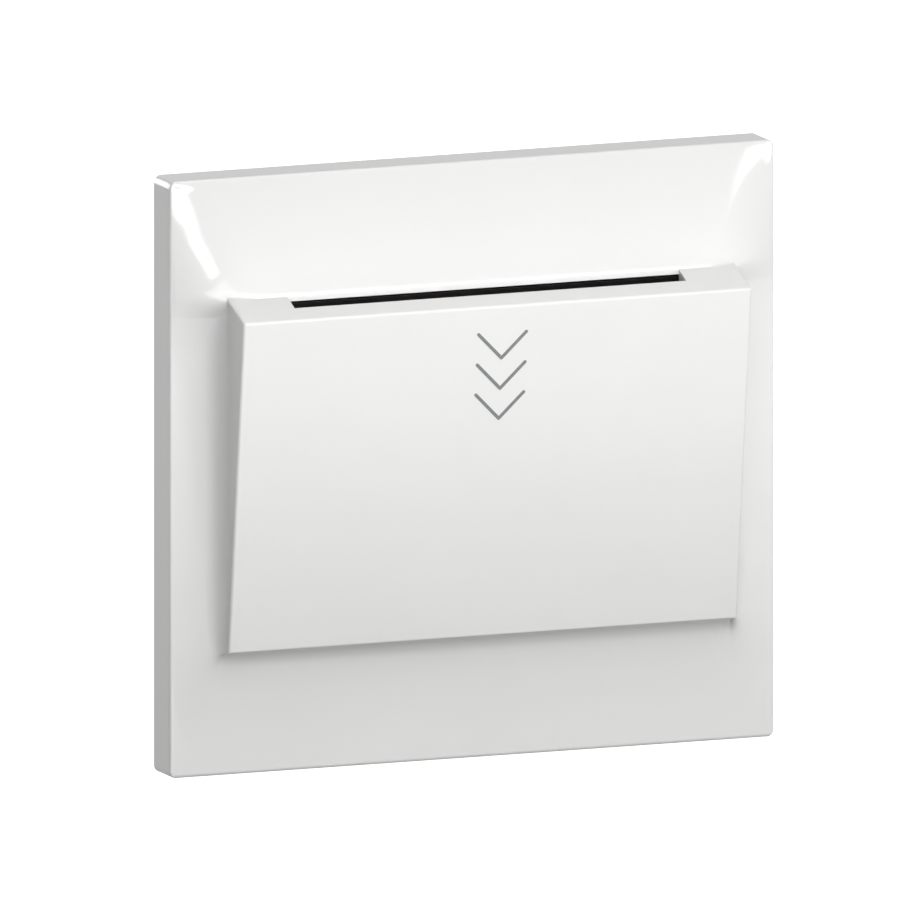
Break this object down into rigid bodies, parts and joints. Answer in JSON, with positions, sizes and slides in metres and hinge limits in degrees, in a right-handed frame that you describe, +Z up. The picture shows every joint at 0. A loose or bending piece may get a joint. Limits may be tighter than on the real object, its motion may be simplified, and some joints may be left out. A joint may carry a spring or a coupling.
{
  "type": "hotel key card switch",
  "caption": "Flush wall switch worked by a key card: a white plate with sloping margins, a raised pocket and a slot, where the card tilts a lever that closes a sprung contact.",
  "frame": {"origin": "centre of the yoke's back face, in the plane of the wall, midway between the wall box's screws", "axes": "+X to the right seen from the front, +Y into the wall, +Z up; the front faces -Y"},
  "size_m": [0.086, 0.0348, 0.08],
  "materials": {
    "cover_white": "gloss moulded",
    "guide_black": "satin moulded",
    "zinc_steel": "zinc plated",
    "spring_steel": "bright rolled",
    "case_cream": "matt moulded",
    "lid_grey": "matt moulded",
    "plunger_white": "matt moulded",
    "copper": "rolled copper alloy",
    "brass": "rolled",
    "silver": "silver contact metal"
  },
  "bodies": {
    "base": {"front_cover": "cover_white", "card_guide": "guide_black", "support_yoke": "zinc_steel", "cover_clips": "spring_steel", "clip_rivets": "zinc_steel", "mechanism_case": "case_cream", "contact_cover": "lid_grey", "lever_pin": "spring_steel", "return_spring": "spring_steel", "line_strip": "brass", "load_strip": "brass", "fixed_contacts": "silver", "line_terminal": "brass", "load_terminal": "brass", "terminal_screws": "zinc_steel", "case_screws": "zinc_steel"},
    "lever": {"actuator_lever": "guide_black"},
    "plunger_set": {"plunger": "plunger_white", "contact_bridge": "copper", "bridge_contacts": "silver"}
  },
  "joints": [
    {"name": "lever_hinge", "type": "hinge", "parent": "base", "child": "lever", "pos_m": [0, 0.0032, 0.006], "axis": [1, 0, 0], "range_deg": [0, 13], "stiffness_Nm_per_rad": 0.004, "springref_deg": -11.46},
    {"name": "plunger_slide", "type": "slide", "parent": "base", "child": "plunger_set", "axis": [0, 1, 0], "range_m": [0, 0.00168], "deforming": ["return_spring"]}
  ],
  "couplings": [
    {"joint": "lever_hinge", "follows": "plunger_slide", "rad_per_m": 135.06}
  ]
}
